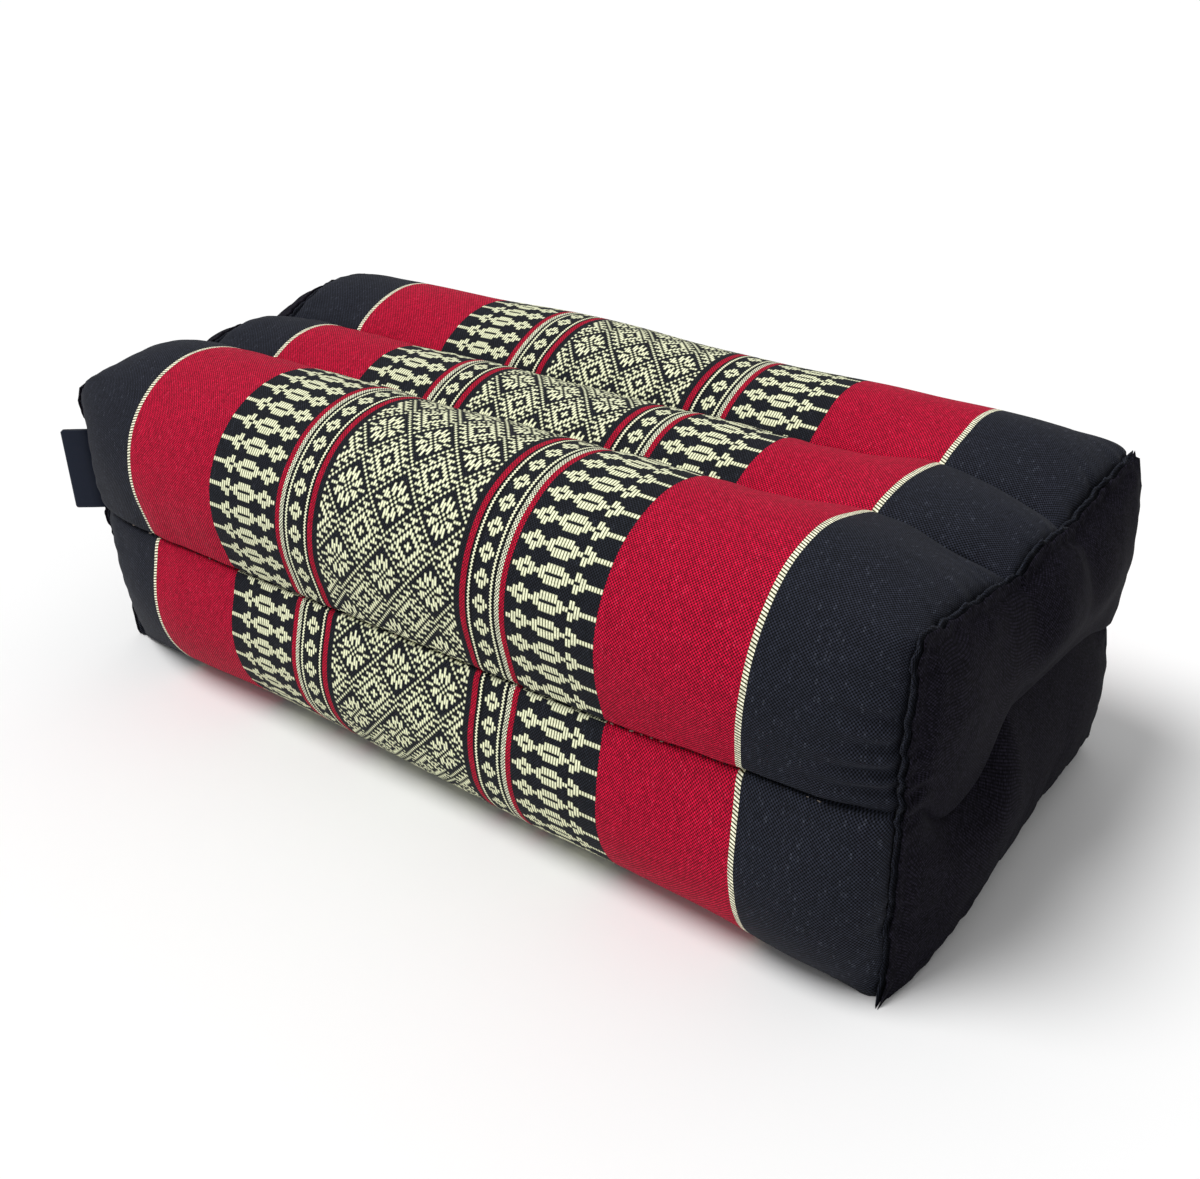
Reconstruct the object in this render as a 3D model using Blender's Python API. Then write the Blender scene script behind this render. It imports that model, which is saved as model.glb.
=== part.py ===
"""Block-shaped meditation cushion: six stuffed channels in a wrap cloth, closed by two end panels.

The frame: X runs along the cushion, Y to the back, +Z up, the origin under the middle of the base.
The cross-section is a ring of six channel arcs that is swept along X. Towards each end the arcs
ease into the flatter, four-cornered line of the end seam. Units are metres.
"""

import math
from collections import namedtuple

import bmesh
import bpy

# The full section: where the seams that part the channels lie, and how far each channel bulges
VALLEY_Y = 0.0215
TOP_VALLEY_Z = 0.1040
BASE_VALLEY_Z = 0.0090
SIDE_SEAM_Y = 0.0795
SIDE_SEAM_Z = 0.0575
CORNER_BULGE = 0.0370
MIDDLE_BULGE = 0.0090
BASE_SPREAD = 0.0016

# The line of the end seam
END_SEAM_X = 0.1625
END_HALF_WIDTH = 0.0715
END_VALLEY_Y = 0.0170
END_TOP_VALLEY_Z = 0.0985
END_BASE_VALLEY_Z = 0.0070
END_MIDDLE_BULGE = 0.0035

# The channels round off towards the ends from here, in steps that crowd towards the seam
ROUND_START_X = 0.108
ROUND_STEPS = 9

# Each end's own shape: how full its channels stay towards the seam (2 is a quarter ellipse), the
# height of its top corners, and how far the corners of its seam stick out as ears
End = namedtuple("End", "side front_fullness back_fullness base_fullness front_top_z back_top_z "
                        "front_top_ear back_top_ear back_base_ear front_base_ear")
LEFT_END = End(side=-1, front_fullness=2.7, back_fullness=4.5, base_fullness=2.0,
               front_top_z=0.1030, back_top_z=0.1120, front_top_ear=0.0005,
               back_top_ear=0.0005, back_base_ear=0.0020, front_base_ear=0.0005)
RIGHT_END = End(side=1, front_fullness=2.0, back_fullness=1.8, base_fullness=2.4,
                front_top_z=0.1055, back_top_z=0.1010, front_top_ear=0.0015,
                back_top_ear=0.0030, back_base_ear=0.0020, front_base_ear=0.0045)

# The raised seam is the wrap's lip with the end panel's lip beside it
LIP_RISE = 0.0030
LIP_WIDTH = 0.0022
LIP_STEP = 0.0005

# The end panels, which bulge in an upper and a lower row of three channel ends
PANEL_THICK = 0.0020
PANEL_GAP = 0.0004
UPPER_BULGE = 0.0185
LOWER_BULGE = 0.0100
LOWER_LEAN = 0.9
GROOVE_BULGE = 0.0025
COLUMN_RELIEF = 0.0022
EDGE_ROUNDNESS = 0.55

# The folded label in the left end seam
LABEL_LOW_Z = 0.0560
LABEL_HIGH_Z = 0.0890
LABEL_REACH = 0.0115
LABEL_THICK = 0.0016
LABEL_TURN = math.radians(38)
SEAT_GAP = 0.0003

# Faces along the arc of a corner channel and of a middle one, both even
CORNER_STEPS = 16
MIDDLE_STEPS = 8
ACROSS_STEPS = CORNER_STEPS + MIDDLE_STEPS
UP_STEPS = CORNER_STEPS

# A channel's outer cloth: its arc in the full section, and its two straight runs in the end seam,
# which meet in the corner, if it has one
Channel = namedtuple("Channel", "steps start end bulge end_start end_corner end_end end_bulge "
                                "fullness ear spread")


def channel_ring(end):
    """The six channels in order round the section, from the front side seam up and over."""
    side_seam = (-SIDE_SEAM_Y, SIDE_SEAM_Z)
    end_side_seam = (-END_HALF_WIDTH, SIDE_SEAM_Z)
    upper = Channel(CORNER_STEPS, side_seam, (-VALLEY_Y, TOP_VALLEY_Z), CORNER_BULGE,
                    end_side_seam, (-END_HALF_WIDTH, end.front_top_z),
                    (-END_VALLEY_Y, END_TOP_VALLEY_Z), 0, end.front_fullness,
                    end.front_top_ear, (0, 0))
    lower = Channel(CORNER_STEPS, (-VALLEY_Y, BASE_VALLEY_Z), side_seam, CORNER_BULGE,
                    (-END_VALLEY_Y, END_BASE_VALLEY_Z), (-END_HALF_WIDTH, 0),
                    end_side_seam, 0, end.base_fullness, end.front_base_ear,
                    (-BASE_SPREAD, -BASE_SPREAD))
    top_middle = Channel(MIDDLE_STEPS, (-VALLEY_Y, TOP_VALLEY_Z), (VALLEY_Y, TOP_VALLEY_Z),
                         MIDDLE_BULGE, (-END_VALLEY_Y, END_TOP_VALLEY_Z), None,
                         (END_VALLEY_Y, END_TOP_VALLEY_Z), END_MIDDLE_BULGE,
                         (end.front_fullness + end.back_fullness) / 2, 0, (0, 0))
    base_middle = Channel(MIDDLE_STEPS, (VALLEY_Y, BASE_VALLEY_Z), (-VALLEY_Y, BASE_VALLEY_Z),
                          MIDDLE_BULGE, (END_VALLEY_Y, END_BASE_VALLEY_Z), None,
                          (-END_VALLEY_Y, END_BASE_VALLEY_Z), END_MIDDLE_BULGE,
                          end.base_fullness, 0, (0, 0))
    back_upper = mirrored(upper)._replace(end_corner=(END_HALF_WIDTH, end.back_top_z),
                                          fullness=end.back_fullness, ear=end.back_top_ear)
    back_lower = mirrored(lower)._replace(ear=end.back_base_ear)
    return [upper, top_middle, back_upper, back_lower, base_middle, lower]


def mirrored(channel):
    """The same channel at the back, still followed in the ring's direction."""
    def flip(point):
        return (-point[0], point[1])
    return channel._replace(start=flip(channel.end), end=flip(channel.start),
                            end_start=flip(channel.end_end), end_end=flip(channel.end_start),
                            end_corner=flip(channel.end_corner), spread=flip(channel.spread))


def mix(a, b, share):
    return tuple(p + (q - p) * share for p, q in zip(a, b))


def arc_point(start, end, bulge, share):
    """A point on the arc from start to end that bulges to the left of that direction."""
    half = math.dist(start, end) / 2
    along = ((end[0] - start[0]) / (2 * half), (end[1] - start[1]) / (2 * half))
    radius = (half * half + bulge * bulge) / (2 * bulge)
    angle = 2 * math.atan2(bulge, half) * (2 * share - 1)
    run = half + radius * math.sin(angle)
    lift = bulge - radius + radius * math.cos(angle)
    return (start[0] + along[0] * run - along[1] * lift,
            start[1] + along[1] * run + along[0] * lift)


def end_seam_point(channel, share):
    """The point of the end seam that the channel's cloth reaches at that share of its arc."""
    if channel.end_corner is None:
        return arc_point(channel.end_start, channel.end_end, channel.end_bulge, share)
    if share <= 0.5:
        return mix(channel.end_start, channel.end_corner, 2 * share)
    return mix(channel.end_corner, channel.end_end, 2 * share - 1)


def section(end, run, lip=0.0):
    """The closed section as (y, z) points: full at run 0, the end seam's line at run 1."""
    points = []
    ears = []
    for channel in channel_ring(end):
        ease = 1 - (1 - run ** channel.fullness) ** (1 / channel.fullness)
        for step in range(channel.steps):
            share = step / channel.steps
            full = arc_point(channel.start, channel.end, channel.bulge, share)
            pressed = math.sin(math.pi * share) ** 2
            full = tuple(a + pressed * b for a, b in zip(full, channel.spread))
            points.append(mix(full, end_seam_point(channel, share), ease))
            ears.append(channel.ear * ease if share == 0.5 else 0)
    raised = []
    for i, (y, z) in enumerate(points):
        before, after = points[i - 1], points[(i + 1) % len(points)]
        run = math.dist(before, after)
        rise = lip + ears[i]
        y -= (after[1] - before[1]) / run * rise
        z += (after[0] - before[0]) / run * rise
        raised.append((y, max(z, 0)))
    return raised


def end_grid(end):
    """The end seam's line filled with a grid of (y, z) points, front to back and base to top."""
    ring = section(end, 1, LIP_RISE)
    top_start = CORNER_STEPS // 2
    turned = ring[top_start:] + ring[:top_start]
    back_start = ACROSS_STEPS
    base_start = back_start + UP_STEPS
    front_start = base_start + ACROSS_STEPS
    top = turned[:back_start + 1]
    back = turned[back_start:base_start + 1][::-1]
    base = turned[base_start:front_start + 1][::-1]
    front = turned[front_start:] + turned[:1]
    grid = []
    for j in range(UP_STEPS + 1):
        up = j / UP_STEPS
        row = []
        for i in range(ACROSS_STEPS + 1):
            across = i / ACROSS_STEPS
            rails = mix(base[i], top[i], up)
            rungs = mix(front[j], back[j], across)
            corners = mix(mix(base[0], base[-1], across), mix(top[0], top[-1], across), up)
            row.append(tuple(a + b - c for a, b, c in zip(rails, rungs, corners)))
        grid.append(row)
    return grid


def end_bulge(across, up):
    """How far an end stands out past its seam, for shares across and up the end."""
    side = math.sin(math.pi * across) ** EDGE_ROUNDNESS
    dome = math.sin(math.pi * up) ** EDGE_ROUNDNESS
    row = abs(math.sin(2 * math.pi * up)) ** EDGE_ROUNDNESS
    height = UPPER_BULGE if up > 0.5 else LOWER_BULGE * (1 + LOWER_LEAN * (0.5 - across))
    columns = COLUMN_RELIEF * (1 + math.cos(6 * math.pi * across)) / 2
    return side * (GROOVE_BULGE * dome + (height - GROOVE_BULGE - columns) * row)


def add_end_surface(bm, end, offset):
    """The bulged surface over an end as a grid of vertices with its faces."""
    rows = []
    for j, row in enumerate(end_grid(end)):
        verts = []
        for i, (y, z) in enumerate(row):
            x = END_SEAM_X + offset + end_bulge(i / ACROSS_STEPS, j / UP_STEPS)
            verts.append(bm.verts.new((end.side * x, y, z)))
        rows.append(verts)
    for low, high in zip(rows, rows[1:]):
        for a, b, c, d in zip(low, low[1:], high[1:], high):
            bm.faces.new((a, b, c, d))
    return rows


def grid_rim(rows):
    """The border of a grid of vertices as a ring, in the section's own order and start."""
    top = rows[-1][:-1]
    back = [row[-1] for row in rows[:0:-1]]
    base = rows[0][:0:-1]
    front = [row[0] for row in rows[:-1]]
    ring = top + back + base + front
    start = len(ring) - CORNER_STEPS // 2
    return ring[start:] + ring[:start]


def join_rings(bm, ring, other):
    for i in range(len(ring)):
        bm.faces.new((ring[i - 1], ring[i], other[i], other[i - 1]))


def add_object(name, bm, colour, roughness):
    """Turns a bmesh into a named object with its own cloth material."""
    bmesh.ops.recalc_face_normals(bm, faces=bm.faces)
    mesh = bpy.data.meshes.new(name)
    bm.to_mesh(mesh)
    bm.free()
    mesh.shade_smooth()
    mesh.set_sharp_from_angle(angle=math.radians(50))
    material = bpy.data.materials.new(name)
    material.use_nodes = True
    shader = material.node_tree.nodes["Principled BSDF"]
    shader.inputs["Base Color"].default_value = (*colour, 1)
    shader.inputs["Roughness"].default_value = roughness
    shader.inputs["Metallic"].default_value = 0
    mesh.materials.append(material)
    piece = bpy.data.objects.new(name, mesh)
    bpy.context.scene.collection.objects.link(piece)
    return piece


def stations():
    """From the middle to an end: each station's x, its run into the rounding, its lip's rise."""
    lip_x = END_SEAM_X - LIP_WIDTH
    found = [(0, 0, 0), (ROUND_START_X / 2, 0, 0)]
    for step in range(ROUND_STEPS + 1):
        run = math.sin(math.pi / 2 * step / ROUND_STEPS)
        found.append((ROUND_START_X + (lip_x - LIP_STEP - ROUND_START_X) * run, run, 0))
    return found + [(lip_x, 1, LIP_RISE)]


def build_cushion():
    """The wrap cloth with its filling, one solid from end face to end face."""
    bm = bmesh.new()
    rings = [grid_rim(add_end_surface(bm, LEFT_END, 0))]
    left = [(LEFT_END, station) for station in stations()[:0:-1]]
    right = [(RIGHT_END, station) for station in stations()]
    for end, (x, run, lip) in left + right:
        rings.append([bm.verts.new((end.side * x, y, z)) for y, z in section(end, run, lip)])
    rings.append(grid_rim(add_end_surface(bm, RIGHT_END, 0)))
    for ring, other in zip(rings, rings[1:]):
        join_rings(bm, ring, other)
    add_object("cushion", bm, colour=(0.42, 0.02, 0.04), roughness=0.85)


def build_end_panel(name, end):
    """The black end cloth with its turned lip, over the filling's bulge."""
    bm = bmesh.new()
    inner = add_end_surface(bm, end, PANEL_GAP)
    outer = add_end_surface(bm, end, PANEL_GAP + PANEL_THICK)
    join_rings(bm, grid_rim(inner), grid_rim(outer))
    add_object(name, bm, colour=(0.012, 0.012, 0.016), roughness=0.9)


def build_label():
    """The folded tape that is caught in the front seam of the left end, as one thin tab."""
    bm = bmesh.new()
    bmesh.ops.create_cube(bm, size=1)
    size = (LABEL_REACH, LABEL_THICK, LABEL_HIGH_Z - LABEL_LOW_Z)
    bmesh.ops.scale(bm, vec=size, verts=bm.verts)
    bmesh.ops.bevel(bm, geom=bm.edges[:], offset=LABEL_THICK * 0.3, segments=2,
                    affect="EDGES", profile=0.5)
    label = add_object("label", bm, colour=(0.012, 0.018, 0.03), roughness=0.6)
    reach = LABEL_REACH / 2
    half = LABEL_THICK / 2
    seat_y = -(END_HALF_WIDTH + LIP_RISE + SEAT_GAP)
    label.location = (-END_SEAM_X - reach * math.cos(LABEL_TURN),
                      seat_y - reach * math.sin(LABEL_TURN) - half * math.cos(LABEL_TURN),
                      (LABEL_LOW_Z + LABEL_HIGH_Z) / 2)
    label.rotation_euler.z = LABEL_TURN


for old in list(bpy.data.objects):
    bpy.data.objects.remove(old)

build_cushion()
build_end_panel("end_panel_left", LEFT_END)
build_end_panel("end_panel_right", RIGHT_END)
build_label()
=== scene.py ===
import math
from collections import namedtuple

import bmesh
import bpy
from mathutils import Matrix, Vector, noise


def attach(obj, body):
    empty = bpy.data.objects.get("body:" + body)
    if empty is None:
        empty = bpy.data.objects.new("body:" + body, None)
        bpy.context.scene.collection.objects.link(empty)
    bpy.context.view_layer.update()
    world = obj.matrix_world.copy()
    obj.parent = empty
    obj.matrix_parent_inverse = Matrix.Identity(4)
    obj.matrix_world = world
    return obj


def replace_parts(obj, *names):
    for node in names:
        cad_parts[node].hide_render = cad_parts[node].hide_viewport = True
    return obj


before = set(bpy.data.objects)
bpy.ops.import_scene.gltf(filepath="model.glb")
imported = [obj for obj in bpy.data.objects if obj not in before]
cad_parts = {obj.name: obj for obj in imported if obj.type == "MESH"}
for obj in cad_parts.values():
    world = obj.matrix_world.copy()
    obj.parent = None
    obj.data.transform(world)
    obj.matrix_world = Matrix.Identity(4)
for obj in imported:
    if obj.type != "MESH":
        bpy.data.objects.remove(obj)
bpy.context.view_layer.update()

# The wrap cloth with its filling. One length of woven cotton goes round six kapok-stuffed channels,
# three above and three below, that inner cloth walls part from each other. The walls are sewn to the
# wrap along the valleys, and the cut ends of the wrap are turned out into a raised lip at each end.

# The full section: where the seams that part the channels lie, how far each channel bulges, and how
# far the lower corner ones are pressed out and down where they rest
VALLEY_Y = 0.0215
TOP_VALLEY_Z = 0.1040
BASE_VALLEY_Z = 0.0090
SIDE_SEAM_Y = 0.0795
SIDE_SEAM_Z = 0.0575
CORNER_BULGE = 0.0370
MIDDLE_BULGE = 0.0090
BASE_SPREAD = 0.0016

# The line of the end seam, and where the channels start to draw in towards it
END_SEAM_X = 0.1625
END_HALF_WIDTH = 0.0715
END_VALLEY_Y = 0.0170
END_HEIGHT = 0.1000
END_BASE_VALLEY_Z = 0.0070
END_MIDDLE_BULGE = 0.0035
ROUND_START_X = 0.108

# Each end's own shape: how full its channels stay towards the seam (2 is a quarter ellipse), the
# height of its corners and of its seam at the top valleys, and how far that seam bows up between
# them. Then the ears of cloth that stick out at its corners, as x outwards, y and z, how far its
# panel's upper row bulges, and how much more at the back.
End = namedtuple("End", "side front_fullness back_fullness base_fullness front_top_z back_top_z "
                        "back_base_z top_valley_z front_bow back_bow front_top_ear back_top_ear "
                        "back_base_ear front_base_ear upper_bulge back_share")
NO_EAR = (0.0, 0.0, 0.0)
LEFT_END = End(side=-1, front_fullness=3.0, back_fullness=4.5, base_fullness=2.0,
               front_top_z=0.1000, back_top_z=0.1105, back_base_z=0.0, top_valley_z=0.1025,
               front_bow=0.0035, back_bow=0.0050, front_top_ear=NO_EAR,
               back_top_ear=NO_EAR, back_base_ear=NO_EAR, front_base_ear=NO_EAR,
               upper_bulge=0.0185, back_share=0.15)
RIGHT_END = End(side=1, front_fullness=2.0, back_fullness=2.2, base_fullness=3.2,
                front_top_z=0.1055, back_top_z=0.1036, back_base_z=0.0045, top_valley_z=0.0985,
                front_bow=0.0, back_bow=0.0, front_top_ear=(0.0, -0.0008, 0.0010),
                back_top_ear=(-0.0004, 0.0006, 0.0020), back_base_ear=NO_EAR,
                front_base_ear=(0.0012, -0.0054, -0.0030), upper_bulge=0.0098, back_share=0.06)

# Faces along a corner channel's arc, along a middle one's, and from the middle out to an end. They
# crowd towards the seams, where the cloth creases.
CORNER_STEPS = 78
MIDDLE_STEPS = 34
BODY_STEPS = 50
ROUND_STEPS = 42
CROWDING = 0.4

# A channel: its faces, its two seams and its bulge in the full section, then its seams, corner and
# bulge at the end, how far the end seam bows there, how full it stays, its ear and how it is pressed
Channel = namedtuple("Channel", "steps start end bulge end_start end_corner end_end end_bulge "
                                "bow fullness ear spread")


def mirrored(channel):
    """The same channel at the back, still followed in the ring's direction."""
    def flip(point):
        return (-point[0], point[1])
    return channel._replace(start=flip(channel.end), end=flip(channel.start),
                            end_start=flip(channel.end_end), end_end=flip(channel.end_start),
                            end_corner=flip(channel.end_corner), spread=flip(channel.spread))


def channel_ring(end):
    """The six channels in order round the section, from the front side seam up and over."""
    side_seam = (-SIDE_SEAM_Y, SIDE_SEAM_Z)
    end_side_seam = (-END_HALF_WIDTH, SIDE_SEAM_Z)
    upper = Channel(CORNER_STEPS, side_seam, (-VALLEY_Y, TOP_VALLEY_Z), CORNER_BULGE,
                    end_side_seam, (-END_HALF_WIDTH, end.front_top_z),
                    (-END_VALLEY_Y, end.top_valley_z), 0, end.front_bow, end.front_fullness,
                    end.front_top_ear, (0, 0))
    lower = Channel(CORNER_STEPS, (-VALLEY_Y, BASE_VALLEY_Z), side_seam, CORNER_BULGE,
                    (-END_VALLEY_Y, END_BASE_VALLEY_Z), (-END_HALF_WIDTH, 0),
                    end_side_seam, 0, 0, end.base_fullness, end.front_base_ear,
                    (-BASE_SPREAD, -BASE_SPREAD))
    top_middle = Channel(MIDDLE_STEPS, (-VALLEY_Y, TOP_VALLEY_Z), (VALLEY_Y, TOP_VALLEY_Z),
                         MIDDLE_BULGE, (-END_VALLEY_Y, end.top_valley_z), None,
                         (END_VALLEY_Y, end.top_valley_z), END_MIDDLE_BULGE, 0,
                         (end.front_fullness + end.back_fullness) / 2, NO_EAR, (0, 0))
    base_middle = Channel(MIDDLE_STEPS, (VALLEY_Y, BASE_VALLEY_Z), (-VALLEY_Y, BASE_VALLEY_Z),
                          MIDDLE_BULGE, (END_VALLEY_Y, END_BASE_VALLEY_Z), None,
                          (-END_VALLEY_Y, END_BASE_VALLEY_Z), END_MIDDLE_BULGE, 0,
                          end.base_fullness, NO_EAR, (0, 0))
    back_upper = mirrored(upper)._replace(end_corner=(END_HALF_WIDTH, end.back_top_z),
                                          bow=end.back_bow, fullness=end.back_fullness,
                                          ear=end.back_top_ear)
    back_lower = mirrored(lower)._replace(end_corner=(END_HALF_WIDTH, end.back_base_z),
                                          ear=end.back_base_ear)
    return [upper, top_middle, back_upper, back_lower, base_middle, lower]


def between(low, high, share):
    return low + (high - low) * share


def mix(a, b, share):
    return tuple(between(p, q, share) for p, q in zip(a, b))


def bell(way, middle, width, power=2):
    """1 at the middle, fading to nothing on both sides of it over about that width."""
    return math.exp(-((way - middle) / width) ** power)


def arc_point(start, end, bulge, share):
    """A point on the arc from start to end that bulges to the left of that direction."""
    half = math.dist(start, end) / 2
    along = ((end[0] - start[0]) / (2 * half), (end[1] - start[1]) / (2 * half))
    radius = (half * half + bulge * bulge) / (2 * bulge)
    angle = 2 * math.atan2(bulge, half) * (2 * share - 1)
    run = half + radius * math.sin(angle)
    lift = bulge - radius + radius * math.cos(angle)
    return (start[0] + along[0] * run - along[1] * lift,
            start[1] + along[1] * run + along[0] * lift)


def end_seam_point(channel, share):
    """The point of the end seam that the channel's cloth reaches at that share of its arc."""
    if channel.end_corner is None:
        return arc_point(channel.end_start, channel.end_end, channel.end_bulge, share)
    if share <= 0.5:
        start, end, along = channel.end_start, channel.end_corner, 2 * share
    else:
        start, end, along = channel.end_corner, channel.end_end, 2 * share - 1
    y, z = mix(start, end, along)
    upright = start[0] == end[0]
    return y, z + (0 if upright else channel.bow * math.sin(math.pi * along))


def spread(step, steps):
    """The share of a channel's arc at a step: the steps crowd towards both of its seams."""
    share = step / steps
    return share - CROWDING * math.sin(2 * math.pi * share) / (2 * math.pi)


# Each channel is known by its number in channel_ring, from 0 to 5
TOP_MIDDLE = 1
BACK_LOWER = 3
LOWER_CHANNELS = (3, 4, 5)

# Each place round the ring: its channel's number in channel_ring and its share of that channel
PLACES = [(number, spread(step, channel.steps))
          for number, channel in enumerate(channel_ring(RIGHT_END)) for step in range(channel.steps)]
RING = len(PLACES)

# An ear of cloth at a corner: its width, the share of it that the seam's line takes part in, and how
# late on the way to the seam that share sets in
EAR_WIDTH = 0.0035
EAR_SEATED = 0.35
EAR_ONSET = 12


def corner_share(end, place):
    """How near a place on the end seam lies to its channel's corner, from 0 to 1."""
    number, share = PLACES[place]
    channel = channel_ring(end)[number]
    if channel.end_corner is None:
        return 0.0
    from_corner = math.dist(end_seam_point(channel, share), channel.end_corner)
    return bell(from_corner, 0, EAR_WIDTH)


CORNER_SHARES = {end.side: [corner_share(end, place) for place in range(RING)]
                 for end in (LEFT_END, RIGHT_END)}


def ear_at(end, place):
    """How far the corner's ear carries a place on the end seam, as x, y and z."""
    ear = channel_ring(end)[PLACES[place][0]].ear
    return tuple(CORNER_SHARES[end.side][place] * part for part in ear)


EARS = {end.side: [ear_at(end, place) for place in range(RING)] for end in (LEFT_END, RIGHT_END)}


def section(end, run):
    """The closed section as (y, z) points: full at run 0, and the end seam's line at run 1."""
    channels = channel_ring(end)
    eases = [1 - (1 - run ** channel.fullness) ** (1 / channel.fullness) for channel in channels]
    points = []
    for place, (number, share) in enumerate(PLACES):
        channel = channels[number]
        full = arc_point(channel.start, channel.end, channel.bulge, share)
        pressed = math.sin(math.pi * share) ** 2
        full = tuple(a + pressed * b for a, b in zip(full, channel.spread))
        y, z = mix(full, end_seam_point(channel, share), eases[number])
        ear = [EAR_SEATED * run ** EAR_ONSET * part for part in EARS[end.side][place]]
        points.append((y + ear[1], max(z + ear[2], 0.0)))
    return points


def round_the_ring(points):
    """The distance along a closed ring of (y, z) points up to each of them."""
    found = [0.0]
    for before, after in zip(points, points[1:]):
        found.append(found[-1] + math.dist(before, after))
    return found


FULL_GIRTH = round_the_ring(section(RIGHT_END, 0))
CLOTH_GIRTH = FULL_GIRTH[-1] + (FULL_GIRTH[-1] - FULL_GIRTH[-2])
SEAM_LINE = {end.side: section(end, 1) for end in (LEFT_END, RIGHT_END)}
SEAM_GIRTH = {side: round_the_ring(line) for side, line in SEAM_LINE.items()}

# Where the stuffing pushes an end seam out along X or draws it in, beside a share of a channel, and
# how late on the way to the seam that sets in
Pull = namedtuple("Pull", "channel share out width")
PULLS = {LEFT_END.side: (Pull(0, 0.0, 0.0028, 0.15), Pull(0, 0.45, 0.0080, 0.13),
                         Pull(0, 0.75, 0.0010, 0.13), Pull(1, 0.5, 0.0004, 0.3),
                         Pull(2, 0.25, 0.0026, 0.20), Pull(5, 0.5, -0.0004, 0.15),
                         Pull(5, 0.72, -0.0020, 0.10), Pull(5, 0.93, 0.0032, 0.08),
                         Pull(5, 1.0, 0.0018, 0.15)),
         RIGHT_END.side: (Pull(2, 1.0, -0.0014, 0.2), Pull(3, 0.0, -0.0014, 0.2))}
PULL_ONSET = 4


def seam_pull(end, place):
    number, share = PLACES[place]
    return sum(pull.out * bell(share, pull.share, pull.width)
               for pull in PULLS[end.side] if pull.channel == number)


# The raised seam: each piece of cloth ends in a rolled lip, and the two lips stand side by side. The
# thread gathers them about every 7 mm, where the seam jumps to one side, most of all just above the
# side seams. The lips lie flatter at the back, at a corner without an ear, and under the cushion.
# Each row of a profile is how far from the seam's middle plane along X, and how far it stands out, as
# a share of the lip's height. A wave is how far the cloth moves or changes, over what length, and two
# numbers that keep its noise from running like another's, as the bare numbers in other noises do.
LIP_HEIGHT = 0.0028
LIP_WAVES = ((0.3, 0.006, 8.9, 2.0), (0.5, 0.0022, 5.7, 1.0))
LEFT_LIP = 0.6
BACK_LIP = 0.2
CORNER_LIP = 0.4
BASE_LIP = 0.2
WRAP_LIP = ((0.0023, 0.03), (0.0018, 0.16), (0.0016, 0.45), (0.0015, 0.75), (0.0012, 0.96),
            (0.0009, 1.0), (0.0006, 0.82), (0.0004, 0.50), (0.0003, 0.15))
EAR_PINCH = 0.7
EAR_LONG = 0.0020
GATHER_LENGTH = 0.0068
GATHER_WAVE = (0.9, 0.03, 3.1, 0.0)
GATHER_STRIDE = 1.7
JUMP_SHARE = 0.35
JUMP = 0.0011
QUIET_JUMP = 0.3
SEAM_WAVES = ((0.0007, 0.0065, 3.3, 4.0), (0.00035, 0.0024, 5.7, 1.0))
JUMP_Z = 0.070
JUMP_REACH = 0.015
VALLEY_JOG = 0.0009
UPRIGHT_WITHIN = 0.004
KINK_ONSET = 10


def waver(end, girth, wave):
    """Smooth unevenness along an end seam."""
    size, length, first_seed, second_seed = wave
    return size * noise.noise(Vector((girth / length, first_seed * end.side, second_seed)))


def gather(end, girth):
    """The number of the seam's last gather before a girth, and the share of the way to the next."""
    place = girth / GATHER_LENGTH + waver(end, girth, GATHER_WAVE)
    return math.floor(place), place % 1.0


def is_upright(end, place):
    return abs(SEAM_LINE[end.side][place][0]) > END_HALF_WIDTH - UPRIGHT_WITHIN


def busy_share(end, place, middle_z, reach):
    """How busy the gathers are at a place: most on an upright stretch of the seam, at that height."""
    return bell(SEAM_LINE[end.side][place][1], middle_z, reach) if is_upright(end, place) else 0.0


def seam_kink(end, place):
    """How far the end seam wanders along X at a place."""
    girth = SEAM_GIRTH[end.side][place]
    gathers, share = gather(end, girth)
    wave = share / (1 - JUMP_SHARE) if share < 1 - JUMP_SHARE else (1 - share) / JUMP_SHARE
    size = 1 + noise.noise(Vector((gathers * GATHER_STRIDE, 5.7 * end.side, 0.5)))
    size *= between(QUIET_JUMP, 1, busy_share(end, place, JUMP_Z, JUMP_REACH))
    wander = sum(waver(end, girth, each) for each in SEAM_WAVES)
    jog = VALLEY_JOG if PLACES[place][0] == TOP_MIDDLE else 0.0
    return JUMP * (wave - 0.5) * size + wander + jog


def lip_height(end, place):
    """How high the lips stand at a place."""
    girth = SEAM_GIRTH[end.side][place]
    high = 1 + sum(waver(end, girth, each) for each in LIP_WAVES)
    high *= LEFT_LIP if end is LEFT_END else 1
    if not any(EARS[end.side][place]):
        high *= between(1, CORNER_LIP, CORNER_SHARES[end.side][place])
    if is_upright(end, place):
        return LIP_HEIGHT * high * (BACK_LIP if SEAM_LINE[end.side][place][0] > 0 else 1)
    return LIP_HEIGHT * high * (BASE_LIP if PLACES[place][0] in LOWER_CHANNELS else 1)


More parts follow.
